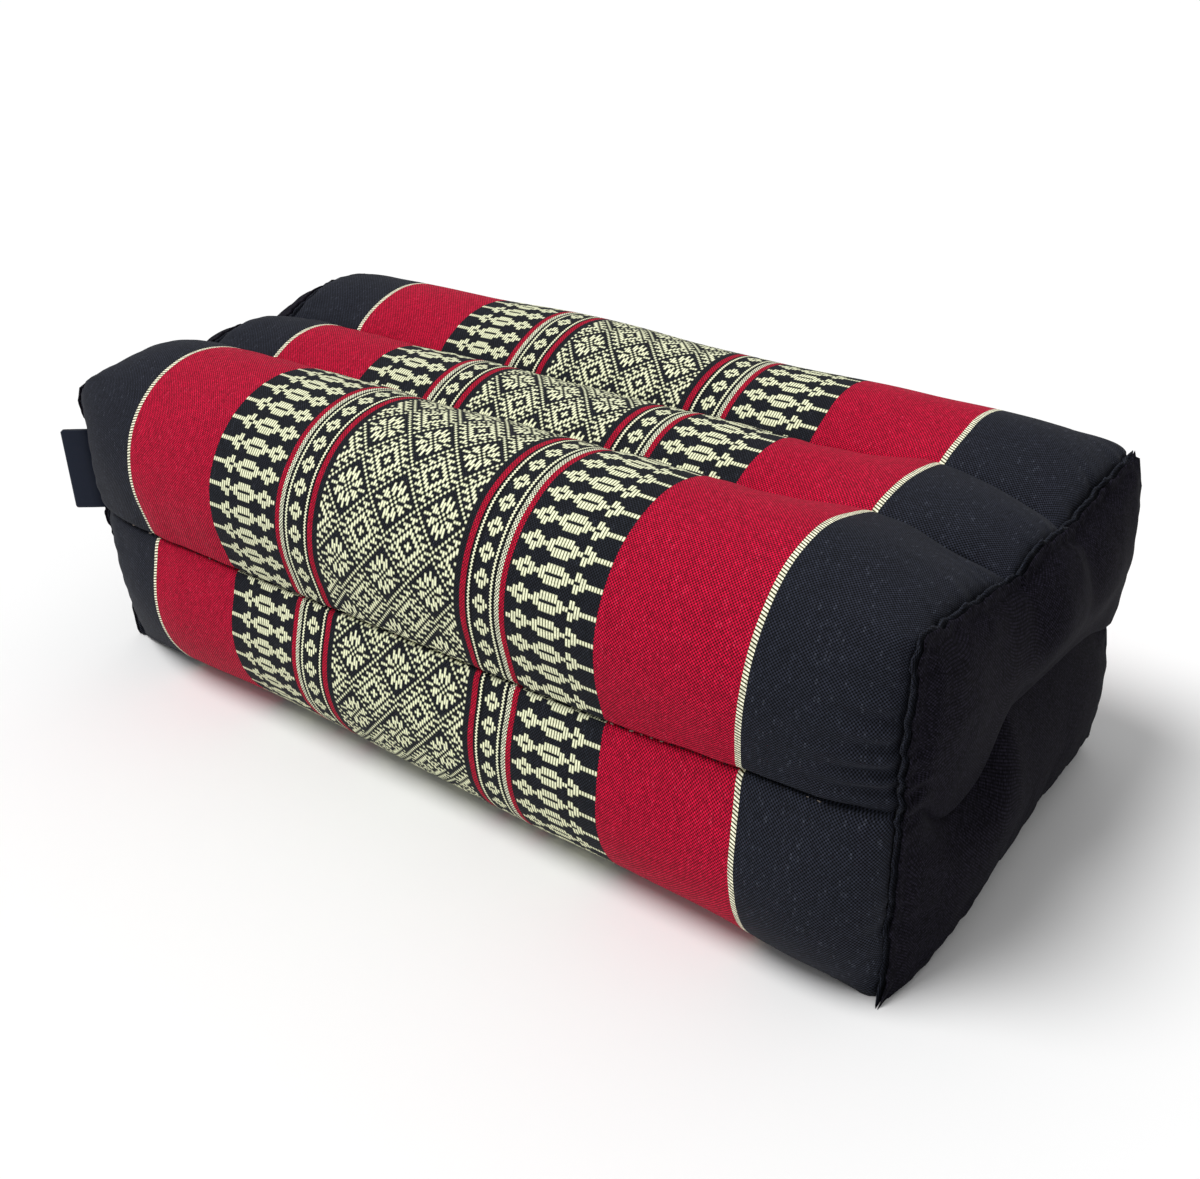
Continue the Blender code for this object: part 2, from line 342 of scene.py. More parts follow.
def lip_ring(end, past_seam, rise):
    """A ring of the raised seam, so far past the seam's middle plane and up its lips."""
    line = SEAM_LINE[end.side]
    ring = []
    for place, (y, z) in enumerate(line):
        before, after = line[place - 1], line[(place + 1) % RING]
        out = Vector((0, before[1] - after[1], after[0] - before[0])).normalized()
        share = CORNER_SHARES[end.side][place]
        ear = Vector(EARS[end.side][place])
        if ear.length:
            out = (out * (1 - share) + Vector((0, ear.y, ear.z)).normalized() * share).normalized()
        across = past_seam * (1 - EAR_PINCH * share * min(1.0, ear.length / EAR_LONG) ** 2)
        x = END_SEAM_X + across + seam_kink(end, place) + seam_pull(end, place)
        point = Vector((x, y, z)) + out * lip_height(end, place) * rise
        point += (1 - EAR_SEATED) * rise * Vector((0, ear.y, ear.z))
        point.x += (EAR_SEATED + (1 - EAR_SEATED) * rise) * ear.x
        ring.append(Vector((end.side * point.x, point.y, max(point.z, 0.0))))
    return ring


# How the stuffed cloth differs from that smooth form: lumps in the kapok, which the seams hold down
# beside them, puckers where the cloth is gathered into a seam, and the tuck that each inner wall
# pulls along its valley. Beside a tuck the channels press against each other.
LUMP_SIZE = 0.045
LUMP_HEIGHT = 0.0010
LUMP_HELD = 0.012
LUMP_WIDTH = 0.22
Lump = namedtuple("Lump", "channel share x height half_length")
LUMPS = (Lump(5, 0.55, -0.060, -0.0024, 0.075), Lump(5, 0.60, 0.143, 0.0022, 0.025),
         Lump(2, 0.45, 0.070, -0.0020, 0.070), Lump(2, 0.45, -0.035, 0.0008, 0.050),
         Lump(2, 0.45, 0.015, -0.0010, 0.030))
TUCK_DEPTH = 0.0012
TUCK_WIDTH = 0.0009
TUCK_FADE = 0.02
PRESSED = (0.0018, 0.0006, 0.0006, 0.0018, 0.0006, 0.0006)
PRESSED_REACH = 0.0030
VALLEY_PUCKER = 0.0006
VALLEY_PUCKER_LENGTH = 0.010
VALLEY_PUCKER_REACH = 0.007
END_PUCKER = 0.0022
PUCKER_UNEVEN = 1.5
QUIET_PUCKER = 0.08
LEFT_PUCKER = 0.10
PUCKER_Z = 0.080
PUCKER_REACH = 0.016
END_PUCKER_REACH = 0.0060
END_PUCKER_START = 0.0018
END_LUMP_SIZE = 0.018
END_LUMP = 0.0007
END_LUMP_REACH = 0.03
END_LUMP_START = 0.006

# Where a seam between two channels rises out of its smooth line near the right end, and how far
Rise = namedtuple("Rise", "seam x out up half_length")
RISES = (Rise(1, 0.123, 0.0044, 0.0, 0.022), Rise(2, 0.123, 0.0040, 0.0, 0.022),
         Rise(0, 0.120, 0.0, 0.0024, 0.028))
RISE_REACH = 0.012


def seam_rise(place, x, to_seams):
    """How far a point is carried out and up by the rise of its channel's seams."""
    out, up = 0.0, 0.0
    for side, distance in enumerate(to_seams):
        for rise in RISES:
            if rise.seam == (PLACES[place][0] + side) % len(PRESSED):
                share = bell(distance, 0, RISE_REACH) * bell(x, rise.x, rise.half_length)
                out += rise.out * share
                up += rise.up * share
    return out, up


def swell(way, reach):
    """0 at a seam, 1 at that reach from it, and slowly back to 0 beyond."""
    return way / reach * math.exp(1 - way / reach)


def stuffing(end, place, x, to_seams, to_end):
    """How far a point of the wrap lies outside the smooth form, in metres."""
    number, share = PLACES[place]
    girth = SEAM_GIRTH[end.side][place]
    free = min(1.0, min(to_seams) / LUMP_HELD)
    out = noise.noise(Vector((x, girth, 0.3)) / LUMP_SIZE) * LUMP_HEIGHT * free
    near_end = math.exp(-to_end / END_LUMP_REACH) * min(1.0, to_end / END_LUMP_START)
    out += noise.noise(Vector((x, girth, 0.9)) / END_LUMP_SIZE) * END_LUMP * near_end * free
    for lump in LUMPS:
        if lump.channel == number:
            out += lump.height * bell(x, lump.x, lump.half_length) * bell(share, lump.share, LUMP_WIDTH)
    off_end = min(1.0, to_end / TUCK_FADE)
    for side, distance in enumerate(to_seams):
        seam = (number + side) % len(PRESSED)
        out -= TUCK_DEPTH * bell(distance, 0, TUCK_WIDTH) * off_end
        out += PRESSED[seam] * swell(distance, PRESSED_REACH) * off_end
        wave = noise.noise(Vector((x / VALLEY_PUCKER_LENGTH, seam * 7.3, side * 0.9)))
        out += wave * VALLEY_PUCKER * swell(distance, VALLEY_PUCKER_REACH)
    gathers, along = gather(end, girth)
    size = 1 + PUCKER_UNEVEN * noise.noise(Vector((gathers * GATHER_STRIDE, 2.0, 0)))
    busy = busy_share(end, place, PUCKER_Z, PUCKER_REACH)
    size = max(0.0, size) * (LEFT_PUCKER if end is LEFT_END else between(QUIET_PUCKER, 1, busy))
    ridge = -math.cos(2 * math.pi * along) / 2
    return out + ridge * END_PUCKER * size * swell(max(0.0, to_end - END_PUCKER_START), END_PUCKER_REACH)


def seam_distances(place):
    """How far a place lies from its channel's two seams along the full section's arc."""
    number, share = PLACES[place]
    first = PLACES.index((number, 0.0))
    last = first + channel_ring(RIGHT_END)[number].steps
    ends = FULL_GIRTH + [CLOTH_GIRTH]
    return FULL_GIRTH[place] - FULL_GIRTH[first], ends[last] - FULL_GIRTH[place]


TO_SEAMS = [seam_distances(place) for place in range(RING)]


def half_rings(end):
    """The wrap from its middle to one end as rings of points, which end up and over its lip."""
    foot_x = END_SEAM_X - WRAP_LIP[0][0]
    stations = [(ROUND_START_X * step / BODY_STEPS, 0.0) for step in range(BODY_STEPS)]
    for step in range(ROUND_STEPS + 1):
        run = math.sin(math.pi / 2 * step / ROUND_STEPS)
        stations.append((between(ROUND_START_X, foot_x, run), run))
    rings = []
    for x, run in stations:
        ring = []
        for place, (y, z) in enumerate(section(end, run)):
            shift = seam_kink(end, place) * run ** KINK_ONSET
            shift += seam_pull(end, place) * run ** PULL_ONSET
            shift += EAR_SEATED * run ** EAR_ONSET * EARS[end.side][place][0]
            ring.append(Vector((end.side * (x + shift), y, z)))
        rings.append(ring)
    return rings + [lip_ring(end, -before_seam, rise) for before_seam, rise in WRAP_LIP]


# How the ends bulge past their seams, in an upper and a lower row of three channel ends, with a groove
# between the rows. Places on an end are shares across it from front to back and up it from its base.
# The upper row is flatter in front. Its belly lies further above the groove there than at the back,
# where it bulges more at once just above the groove, and the change comes late on the way back.
FRONT_PEAK, BACK_PEAK = 0.56, 0.38
UPPER_FLANK = 1.3
UNDER_TURN = 0.02
FRONT_UNDER, BACK_UNDER = 0.24, 0.80
BACK_ONSET = 3
CREST_ROUNDNESS = 2.2
FRONT_ACROSS = 0.22
FRONT_LESS, FRONT_LESS_WIDTH = 0.38, 0.14

# The lower row, which bulges most in front and least in the middle, and the groove
LOWER_BULGE = 0.0096
FRONT_LOBE, FRONT_LOBE_WIDTH = 0.0031, 0.18
MIDDLE_LESS = 0.0037
GROOVE_BULGE = -0.0010

# How deep the lines between the channels lie in each row, how squarely a row rises from the seam
# (less is squarer), and the dimples at the top of those lines, where the seam holds the cloth back
UPPER_RELIEF, LOWER_RELIEF = 0.0010, 0.0003
UPPER_EDGE = 0.32
FRONT_EDGE, BACK_EDGE = 0.52, 0.50
FRONT_ROUNDNESS, BACK_ROUNDNESS = 0.22, 0.60
DIMPLE = 0.0008
DIMPLE_UP = 0.94
DIMPLE_WIDTH, DIMPLE_HEIGHT = 0.05, 0.07

# How far the groove lifts in the middle, where the upper row sags over the lower one in front and at
# the back, and how it hangs over the groove
GROOVE_LIFT = 0.0045
FRONT_SAG, FRONT_SAG_ACROSS, FRONT_SAG_WIDTH = 0.0150, 0.17, 0.128
BACK_SAG, BACK_SAG_WIDTH = 0.0120, 0.16
SAG_HEIGHT = 0.17
SAG_FADE = 0.0025
OVERHANG = 0.0018
OVERHANG_UP = 0.52
OVERHANG_REACH = 0.03

# The panel's own lumps and its puckers beside the seam, and how far the seam's wander reaches in
PANEL_LUMP, PANEL_LUMP_SIZE, PANEL_LUMP_FADE = 0.0011, 0.03, 0.02
PANEL_PUCKER, PANEL_PUCKER_SIZE, PANEL_PUCKER_REACH = 0.0007, 0.009, 0.006
KINK_REACH = 0.006

# The grid over an end: its places crowd towards the seams, as the wrap's do
ACROSS_STEPS = CORNER_STEPS + MIDDLE_STEPS
UP_STEPS = CORNER_STEPS
ACROSS = ([2 / 3 * (spread(CORNER_STEPS // 2 + i, CORNER_STEPS) - 0.5) for i in range(CORNER_STEPS // 2)]
          + [1 / 3 + spread(i, MIDDLE_STEPS) / 3 for i in range(MIDDLE_STEPS)]
          + [2 / 3 + 2 / 3 * spread(i, CORNER_STEPS) for i in range(CORNER_STEPS // 2 + 1)])
UP = ([spread(CORNER_STEPS // 2 + j, CORNER_STEPS) - 0.5 for j in range(CORNER_STEPS // 2)]
      + [0.5 + spread(j, CORNER_STEPS) for j in range(CORNER_STEPS // 2 + 1)])


def end_sides(ring):
    """The top, back, base and front of a closed ring, front to back and from base to top."""
    top_start = CORNER_STEPS // 2
    turned = ring[top_start:] + ring[:top_start]
    back_start = ACROSS_STEPS
    base_start = back_start + UP_STEPS
    front_start = base_start + ACROSS_STEPS
    return (turned[:back_start + 1], turned[back_start:base_start + 1][::-1],
            turned[base_start:front_start + 1][::-1], turned[front_start:] + turned[:1])


def end_grid(ring):
    """A closed ring filled with a grid of its points, front to back in rows from base to top."""
    top, back, base, front = end_sides(ring)
    grid = []
    for j, up in enumerate(UP):
        row = []
        for i, across in enumerate(ACROSS):
            rails = mix(base[i], top[i], up)
            rungs = mix(front[j], back[j], across)
            corners = mix(mix(base[0], base[-1], across), mix(top[0], top[-1], across), up)
            row.append(tuple(a + b - c for a, b, c in zip(rails, rungs, corners)))
        grid.append(row)
    return grid


def end_bulge(end, across, up):
    """How far an end stands out past its seam and how far it sags, for shares across and up it."""
    from_groove = abs(2 * up - 1)
    ridge = max(0.0, math.sin(math.pi * across))
    dome = max(0.0, math.sin(math.pi * up)) ** UPPER_EDGE
    if up > 0.5:
        side = ridge ** UPPER_EDGE
        height, relief = end.upper_bulge * (1 + end.back_share * across), UPPER_RELIEF
        height *= 1 - FRONT_LESS * bell(across, FRONT_ACROSS, FRONT_LESS_WIDTH)
        peak = between(FRONT_PEAK, BACK_PEAK, across ** BACK_ONSET)
        if from_groove < peak:
            flank = 1 - (1 - from_groove / peak) ** UPPER_FLANK
            under = 1 - math.exp(-from_groove / UNDER_TURN)
            share = between(FRONT_UNDER, BACK_UNDER, across ** BACK_ONSET)
            row = between(flank, under, share)
        else:
            row = (1 - ((from_groove - peak) / (1 - peak)) ** CREST_ROUNDNESS) ** 0.5
    else:
        side = ridge ** between(FRONT_EDGE, BACK_EDGE, across)
        height, relief = LOWER_BULGE - MIDDLE_LESS * ridge ** 2, LOWER_RELIEF
        height += FRONT_LOBE * bell(across, FRONT_ACROSS, FRONT_LOBE_WIDTH)
        roundness = between(FRONT_ROUNDNESS, BACK_ROUNDNESS, across)
        row = abs(math.sin(2 * math.pi * up)) ** between(1, roundness, from_groove)
    lines = relief * math.cos(3 * math.pi * across) ** 4
    out = side * (GROOVE_BULGE * dome + (height - GROOVE_BULGE - lines) * row)
    for valley in (1 / 3, 2 / 3):
        out -= DIMPLE * bell(across, valley, DIMPLE_WIDTH) * bell(up, DIMPLE_UP, DIMPLE_HEIGHT) * dome
    sag = FRONT_SAG * bell(across, FRONT_SAG_ACROSS, FRONT_SAG_WIDTH, power=4) - GROOVE_LIFT
    sag += BACK_SAG * bell(across, 1, BACK_SAG_WIDTH)
    sag *= bell(up, 0.5, SAG_HEIGHT)
    return out, sag + OVERHANG * bell(up, OVERHANG_UP, OVERHANG_REACH)


def end_kink(sides, i, j):
    """How far the seam's own wander carries a point of the end's grid, which fades inwards."""
    top, back, base, front = sides
    to_front, to_top = 2 * END_HALF_WIDTH * ACROSS[i], END_HEIGHT * (1 - UP[j])
    to_back, to_base = 2 * END_HALF_WIDTH * (1 - ACROSS[i]), END_HEIGHT * UP[j]
    at_front, at_top, at_back, at_base = (max(0.0, 1 - distance / KINK_REACH)
                                          for distance in (to_front, to_top, to_back, to_base))
    return (at_top * top[i] + at_base * base[i] + at_front * front[j] + at_back * back[j]
            - at_top * (at_front * top[0] + at_back * top[-1])
            - at_base * (at_front * base[0] + at_back * base[-1]))


def end_surface(end, offset, creased=True):
    """The bulged surface over an end: rows of points that lie offset outside the seam's plane, with
    or without its lumps and puckers."""
    rows = []
    rim = [(y, z, seam_pull(end, place)) for place, (y, z) in enumerate(SEAM_LINE[end.side])]
    kinks = end_sides([seam_kink(end, place) for place in range(RING)])
    for j, row in enumerate(end_grid(rim)):
        points = []
        for i, (y, z, pull) in enumerate(row):
            across, up = ACROSS[i], UP[j]
            to_rim = min(2 * END_HALF_WIDTH * min(across, 1 - across), END_HEIGHT * min(up, 1 - up))
            out, sag = end_bulge(end, across, up)
            if creased:
                lump = noise.noise(Vector((y, z, 4.0 * end.side)) / PANEL_LUMP_SIZE)
                out += lump * PANEL_LUMP * min(1.0, to_rim / PANEL_LUMP_FADE)
                wave = noise.noise(Vector((y, z, 9.0 * end.side)) / PANEL_PUCKER_SIZE)
                out += wave * PANEL_PUCKER * swell(to_rim, PANEL_PUCKER_REACH)
                out += end_kink(kinks, i, j)
            out += pull
            sag *= min(1.0, to_rim / SAG_FADE)
            points.append(Vector((end.side * (END_SEAM_X + offset + out), y, z - sag)))
        rows.append(points)
    return rows


def grid_rim(rows):
    """The border of a grid as a ring, in the section's own order and start."""
    top = rows[-1][:-1]
    back = [row[-1] for row in rows[:0:-1]]
    base = rows[0][:0:-1]
    front = [row[0] for row in rows[:-1]]
    ring = top + back + base + front
    start = len(ring) - CORNER_STEPS // 2
    return ring[start:] + ring[:start]


def join_rings(bm, ring, other):
    for i in range(len(ring)):
        bm.faces.new((ring[i - 1], ring[i], other[i], other[i - 1]))


def add_grid(bm, rows):
    """Faces over rows of points, returned as rows of vertices."""
    verts = [[bm.verts.new(point) for point in row] for row in rows]
    for low, high in zip(verts, verts[1:]):
        for a, b, c, d in zip(low, low[1:], high[1:], high):
            bm.faces.new((a, b, c, d))
    return verts


def finish_mesh(name, bm):
    bmesh.ops.recalc_face_normals(bm, faces=bm.faces)
    mesh = bpy.data.meshes.new(name)
    bm.to_mesh(mesh)
    bm.free()
    mesh.shade_smooth()
    piece = bpy.data.objects.new(name, mesh)
    bpy.context.scene.collection.objects.link(piece)
    return piece


# The side seams swallow this much of the cloth in their tuck, so the pattern jumps there. The inner
# layer that closes the wrap's ends takes its weave from a place on the cloth past both ends.
TUCKED_CLOTH = 0.008
INNER_CLOTH_X = 0.4


def cloth_girth(place, lower_front):
    """The place's own coordinate along the cloth, which counts the tucked cloth too."""
    if lower_front:
        return FULL_GIRTH[place % RING] - (CLOTH_GIRTH if place < RING else 0) - TUCKED_CLOTH
    number = PLACES[place % RING][0]
    return FULL_GIRTH[place % RING] + (TUCKED_CLOTH if number in (3, 4) else 0)


# How far the cloth's stripes drift out (or in, below zero) near an end, beside a share of a channel
Drift = namedtuple("Drift", "side channel share width shift")
DRIFTS = (Drift(1, 5, 0.50, 0.30, 0.0022), Drift(1, 5, 1.0, 0.12, -0.0018),
          Drift(1, 0, 0.0, 0.12, -0.0018), Drift(1, 0, 0.45, 0.30, 0.0011),
          Drift(-1, 0, 0.45, 0.30, 0.0013), Drift(-1, 5, 0.85, 0.25, -0.0013))
DRIFT_START_X = 0.060
DRIFT_FULL_X = 0.120


def drift(end, place, x):
    number, share = PLACES[place]
    rise = min(1.0, max(0.0, (abs(x) - DRIFT_START_X) / (DRIFT_FULL_X - DRIFT_START_X)))
    found = sum(each.shift * bell(share, each.share, each.width)
                for each in DRIFTS if (each.side, each.channel) == (end.side, number))
    return end.side * found * rise * rise * (3 - 2 * rise)


def build_cushion():
    """The wrap cloth as one closed, stuffed form, with the cloth's own coordinates as a UV map."""
    bm = bmesh.new()
    left, right = half_rings(LEFT_END), half_rings(RIGHT_END)
    rings = left[:0:-1] + right
    ends = [LEFT_END] * (len(left) - 1) + [RIGHT_END] * len(right)
    middle = len(left) - 1
    cloth_x = [[0.0] * RING for ring in rings]
    for direction in (range(middle - 1, -1, -1), range(middle + 1, len(rings))):
        for i in direction:
            inner = i + (1 if i < middle else -1)
            for place in range(RING):
                step = (rings[i][place] - rings[inner][place]).length
                cloth_x[i][place] = cloth_x[inner][place] + step * ends[i].side
    verts = [[bm.verts.new(point) for point in ring] for ring in rings]
    for ring, other in zip(verts, verts[1:]):
        join_rings(bm, ring, other)
    for end, outer in ((LEFT_END, verts[0]), (RIGHT_END, verts[-1])):
        join_rings(bm, grid_rim(add_grid(bm, end_surface(end, 0))), outer)
    bmesh.ops.recalc_face_normals(bm, faces=bm.faces)
    bm.normal_update()
    lip_rings = len(WRAP_LIP)
    moves = []
    for i, ring in enumerate(verts):
        if i < lip_rings or i >= len(verts) - lip_rings:
            continue
        end = ends[i]
        seam_x = cloth_x[lip_rings - 1] if end is LEFT_END else cloth_x[-lip_rings]
        for place, vert in enumerate(ring):
            to_end = abs(seam_x[place] - cloth_x[i][place])
            x = rings[i][place].x
            out = stuffing(end, place, x, TO_SEAMS[place], to_end)
            rise_out, rise_up = seam_rise(place, x, TO_SEAMS[place])
            moves.append((vert, vert.normal * (out + rise_out) + Vector((0, 0, rise_up))))
    for vert, move in moves:
        vert.co += move
        vert.co.z = max(vert.co.z, 0.0)
    index = {vert: (i, place) for i, ring in enumerate(verts) for place, vert in enumerate(ring)}
    weave = bm.loops.layers.uv.new("Weave")
    for face in bm.faces:
        places = [index.get(vert) for vert in face.verts]
        if None in places:
            for loop in face.loops:
                loop[weave].uv = (loop.vert.co.y + INNER_CLOTH_X, loop.vert.co.z)
            continue
        lower_front = max(place for i, place in places) > RING - CORNER_STEPS
        closing = lower_front and min(place for i, place in places) == 0
        for loop in face.loops:
            i, place = index[loop.vert]
            along = cloth_x[i][place] - drift(ends[i], place, rings[i][place].x)
            if closing and place == 0:
                # The ring's start is its end too, and belongs to the lower front channel here
                along = cloth_x[i][0] - drift(ends[i], RING - 1, rings[i][0].x)
                place = RING
            loop[weave].uv = (along, cloth_girth(place, lower_front))
    return finish_mesh("wrap_cushion", bm)


def linear(code):
    """An sRGB hex colour as the linear RGBA that shaders take."""
    channels = [int(code[i:i + 2], 16) / 255 for i in (1, 3, 5)]
    return tuple(c / 12.92 if c <= 0.04045 else ((c + 0.055) / 1.055) ** 2.4 for c in channels) + (1,)


def add(tree, kind, *inputs, output=0, **settings):
    """Adds a node with its settings, links or sets its inputs in order or by name, and returns an
    output. A kind in capitals is the operation of a Math node."""
    made = tree.nodes.new("ShaderNodeMath" if kind.isupper() else kind)
    if kind.isupper():
        made.operation = kind
    for name, value in settings.items():
        setattr(made, name, value)
    listed = inputs[0].items() if inputs and isinstance(inputs[0], dict) else enumerate(inputs)
    for name, value in listed:
        if isinstance(value, bpy.types.NodeSocket):
            tree.links.new(value, made.inputs[name])
        elif value is not None:
            made.inputs[name].default_value = value
    return made.outputs[output] if len(made.outputs) > output else None


def bare_material(name):
    """A material whose node tree is still empty, and that tree."""
    made = bpy.data.materials.new(name)
    made.use_nodes = True
    made.node_tree.nodes.clear()
    return made, made.node_tree


# Woven cotton in a plain weave, with a second, cream warp that floats over it in the pattern. The
# warp runs round the cushion, its threads 0.485 mm apart, and the weft's picks lie 0.5125 mm apart.
# It gives a dull, finely ribbed surface. A cell of the pattern is two threads wide and two picks high.
THREAD_MM = 0.485
PICK_MM = 0.5125
COLUMN_MM = 0.960
ROW_MM = 2 * PICK_MM
REPEAT_MM = 22 * ROW_MM / 3
STAR_START_MM = 3.4
FLOWER_START_MM = 5.9

# The stripes, each from its start out to the next: the colours of the warp on top, of the weft
# between, which carries painted shade of the gaps between the threads, and of the paler bits of yarn
# that fleck it
Stripe = namedtuple("Stripe", "start_mm warp dots flecks")
STRIPES = (
    Stripe(0, "#24272F", "#060709", "#5A606C"),
    Stripe(30.5, "#C81238", "#560512", "#E0607A"),
    Stripe(32.6, "#16191F", "#050608", "#3C424C"),
    Stripe(35.3, "#24272F", "#060709", "#5A606C"),
    Stripe(42.9, "#16191F", "#050608", "#3C424C"),
    Stripe(43.8, "#F8FADC", "#1C1E14", "#FFFFF0"),
    Stripe(45.5, "#C81238", "#560512", "#E0607A"),
    Stripe(47.4, "#24272F", "#060709", "#5A606C"),
    Stripe(78.7, "#D60F3E", "#4E0411", "#E4607E"),
    Stripe(122.1, "#FFFDE0", "#3C3A1C", "#FFFFF0"),
    Stripe(123.8, "#2B2E3A", "#030405", "#747A88"),
)
ZIGZAGS_MM = (33.9, 42.4)
ZIGZAG_STEP_MM = 0.24
ZIGZAG_EDGE_MM = (0.40, 0.28)

# The pattern of the middle: one quarter of a star and of the lozenge between four stars. It is
# mirrored at its first and last column and row. A hash is a cell where the cream warp lies on top.
STAR_CHART = (
    ".#...###..#",
    "#.###....#.",
    ".#.###..#..",
    ".##.#..#.##",
    "###...#...#",
    "#.#..#.###.",
    "#...#...#.#",
    "...#.###.##",
    "..#...#.##.",
    ".#.###.##..",
    "#...#.##..#",
    ".###.##..##",
)
STAR_HALF_COLUMNS = 29.5
STAR_END_ROWS = 0.24

# The flowers and branches beside it: how far each run of columns reaches to both sides of its row
FLOAT_RUNS = ((37, 0.70), (38, 1.75), (39, 2.85), (41, 1.75), (42, 0.70), (43, 0.0),
              (50, 0.70), (52, 1.75), (54, 2.85), (56, 1.75), (58, 0.70), (60, 1.75),
              (62, 2.85), (68, 1.75), (70, 0.70), (72, 2.85), (74, 1.75), (76, 0.70), (82, 0.0))
FLOAT_FIRST = 36
FLOAT_SPAN = 48
HOLE_MM = 0.38
HOLED_REACH_MM = 2.5
BRANCH_END_MM = 0.28
THINNER_BRANCH = 1.16

# The outer cream line: its middle, half its width, and how its rungs slant
CREAM_LINE_MM = 122.95
CREAM_LINE_HALF_MM = 0.85
RUNG_SLANT = 0.35

# How far the stripes wander, and over what length
STRIPE_WANDER_MM = 1.2
STRIPE_WANDER_LENGTH_MM = 25

# The yarn: slubs for each millimetre along the cushion and round it, how much darker and lighter
# they make it, the same for each crest, and how many picks long a bit of yarn is that may be paler
WARP_SLUBS_PER_MM = (2.3, 0.33)
WEFT_SLUBS_PER_MM = (0.26, 1.9)
SLUB_SHADES = (0.82, 1.18)
CREST_SHADES = (0.68, 1.32)
DASH_PICKS = 3
FLECK_RARITY = 0.95
FLECK_STRENGTH = 0.13

brocade, tree = bare_material("woven cotton, cream pattern")
on_cloth = add(tree, "ShaderNodeUVMap", uv_map="Weave")
cloth = add(tree, "ShaderNodeSeparateXYZ", on_cloth)
wander = add(tree, "ShaderNodeTexNoise",
             {"Vector": on_cloth, "Scale": 1000 / STRIPE_WANDER_LENGTH_MM, "Detail": 1.0})
u_raw = add(tree, "MULTIPLY", cloth, 1000)
wandered = add(tree, "MULTIPLY", wander, STRIPE_WANDER_MM)
u_mm = add(tree, "ADD", add(tree, "ADD", u_raw, wandered), -STRIPE_WANDER_MM / 2)
v_mm = add(tree, "MULTIPLY", cloth.node.outputs["Y"], 1000)
x_mm = add(tree, "ABSOLUTE", u_mm)


def plain_weave(tree, u_mm, v_mm):
    """The weft's wave, the weave (1 on a warp thread's crest, -1 on a weft's), the share of weft
    between the crests, which takes painted shade of the gaps, the warp thread's number, and a random
    share for each crest."""
    warp_wave = add(tree, "SINE", add(tree, "MULTIPLY", u_mm, math.pi / THREAD_MM))
    weft_wave = add(tree, "SINE", add(tree, "MULTIPLY", v_mm, math.pi / PICK_MM))
    weave = add(tree, "MULTIPLY", warp_wave, weft_wave)
    weft_with_shade = add(tree, "ShaderNodeMapRange", weave, 0.4, -0.4, 0.0, 1.0, interpolation_type="SMOOTHSTEP")
    thread_x = add(tree, "FLOOR", add(tree, "MULTIPLY", u_mm, 1 / THREAD_MM))
    thread_y = add(tree, "FLOOR", add(tree, "MULTIPLY", v_mm, 1 / PICK_MM))
    crests = add(tree, "ShaderNodeTexWhiteNoise", add(tree, "ShaderNodeCombineXYZ", thread_x, thread_y))
    return weft_wave, weave, weft_with_shade, thread_x, crests


weft_wave, weave, weft_with_shade, thread_x, crests = plain_weave(tree, u_mm, v_mm)

# In the outer cream line the weft crosses all of its threads at once, as the rungs of a ladder
slant = add(tree, "ADD", add(tree, "MULTIPLY", x_mm, RUNG_SLANT), v_mm)
rung_wave = add(tree, "SINE", add(tree, "MULTIPLY", slant, math.pi / PICK_MM))
rungs = add(tree, "ShaderNodeMapRange", rung_wave, 0.2, -0.6, 0.0, 1.0, interpolation_type="SMOOTHSTEP")
in_line = add(tree, "COMPARE", x_mm, CREAM_LINE_MM, CREAM_LINE_HALF_MM)
weft_with_shade = add(tree, "ShaderNodeMix", {"Factor": in_line, 2: weft_with_shade, 3: rungs})

# Uneven yarn. Slubs along the warp and along the weft shade the threads, each crest of a thread is
# lighter or darker than its neighbours, and now and then a paler bit of yarn flecks the warp.
slub_noises = []
for per_mm in (WARP_SLUBS_PER_MM, WEFT_SLUBS_PER_MM):
    stretch = add(tree, "ShaderNodeMapping",
                  {"Vector": on_cloth, "Scale": (1000 * per_mm[0], 1000 * per_mm[1], 1)})
    slub_noises.append(add(tree, "ShaderNodeTexNoise", {"Vector": stretch, "Scale": 1, "Detail": 2}))
slubs = add(tree, "ADD", *slub_noises)
slub_shade = add(tree, "ShaderNodeMapRange", slubs, 0.7, 1.3, *SLUB_SHADES)
dash_y = add(tree, "FLOOR", add(tree, "MULTIPLY", v_mm, 1 / (DASH_PICKS * PICK_MM)))
dashes = add(tree, "ShaderNodeTexWhiteNoise", add(tree, "ShaderNodeCombineXYZ", thread_x, dash_y))
both = add(tree, "ADD", crests, dashes)
yarn_shade = add(tree, "ShaderNodeMapRange", both, 0.0, 2.0, *CREST_SHADES)
fleck = add(tree, "ShaderNodeMapRange", dashes, FLECK_RARITY, 1.0, 0.0, FLECK_STRENGTH)
on_warp = add(tree, "ShaderNodeMapRange", weave, -0.4, 0.4, 0.2, 1.0)
flecks = add(tree, "MULTIPLY", fleck, on_warp)

# The stripes one after another
warp_colour, weft_shade_colour, fleck_colour = (linear(code) for code in STRIPES[0][1:])
for stripe in STRIPES[1:]:
    past = add(tree, "GREATER_THAN", x_mm, stripe.start_mm)
    warp_colour, weft_shade_colour, fleck_colour = (
        add(tree, "ShaderNodeMix", {"Factor": past, 6: inner, 7: linear(outer)}, output=2,
            data_type="RGBA")
        for inner, outer in zip((warp_colour, weft_shade_colour, fleck_colour), stripe[1:]))
# Between the warp crests the darker weft colour is painted shade of the gaps between the threads
ground = add(tree, "ShaderNodeMix", {"Factor": weft_with_shade, 6: warp_colour, 7: weft_shade_colour}, output=2,
             data_type="RGBA")
ground = add(tree, "ShaderNodeMix", {"Factor": flecks, 6: ground, 7: fleck_colour}, output=2,
             data_type="RGBA")
shaded = add(tree, "ShaderNodeVectorMath", ground, yarn_shade, operation="MULTIPLY")

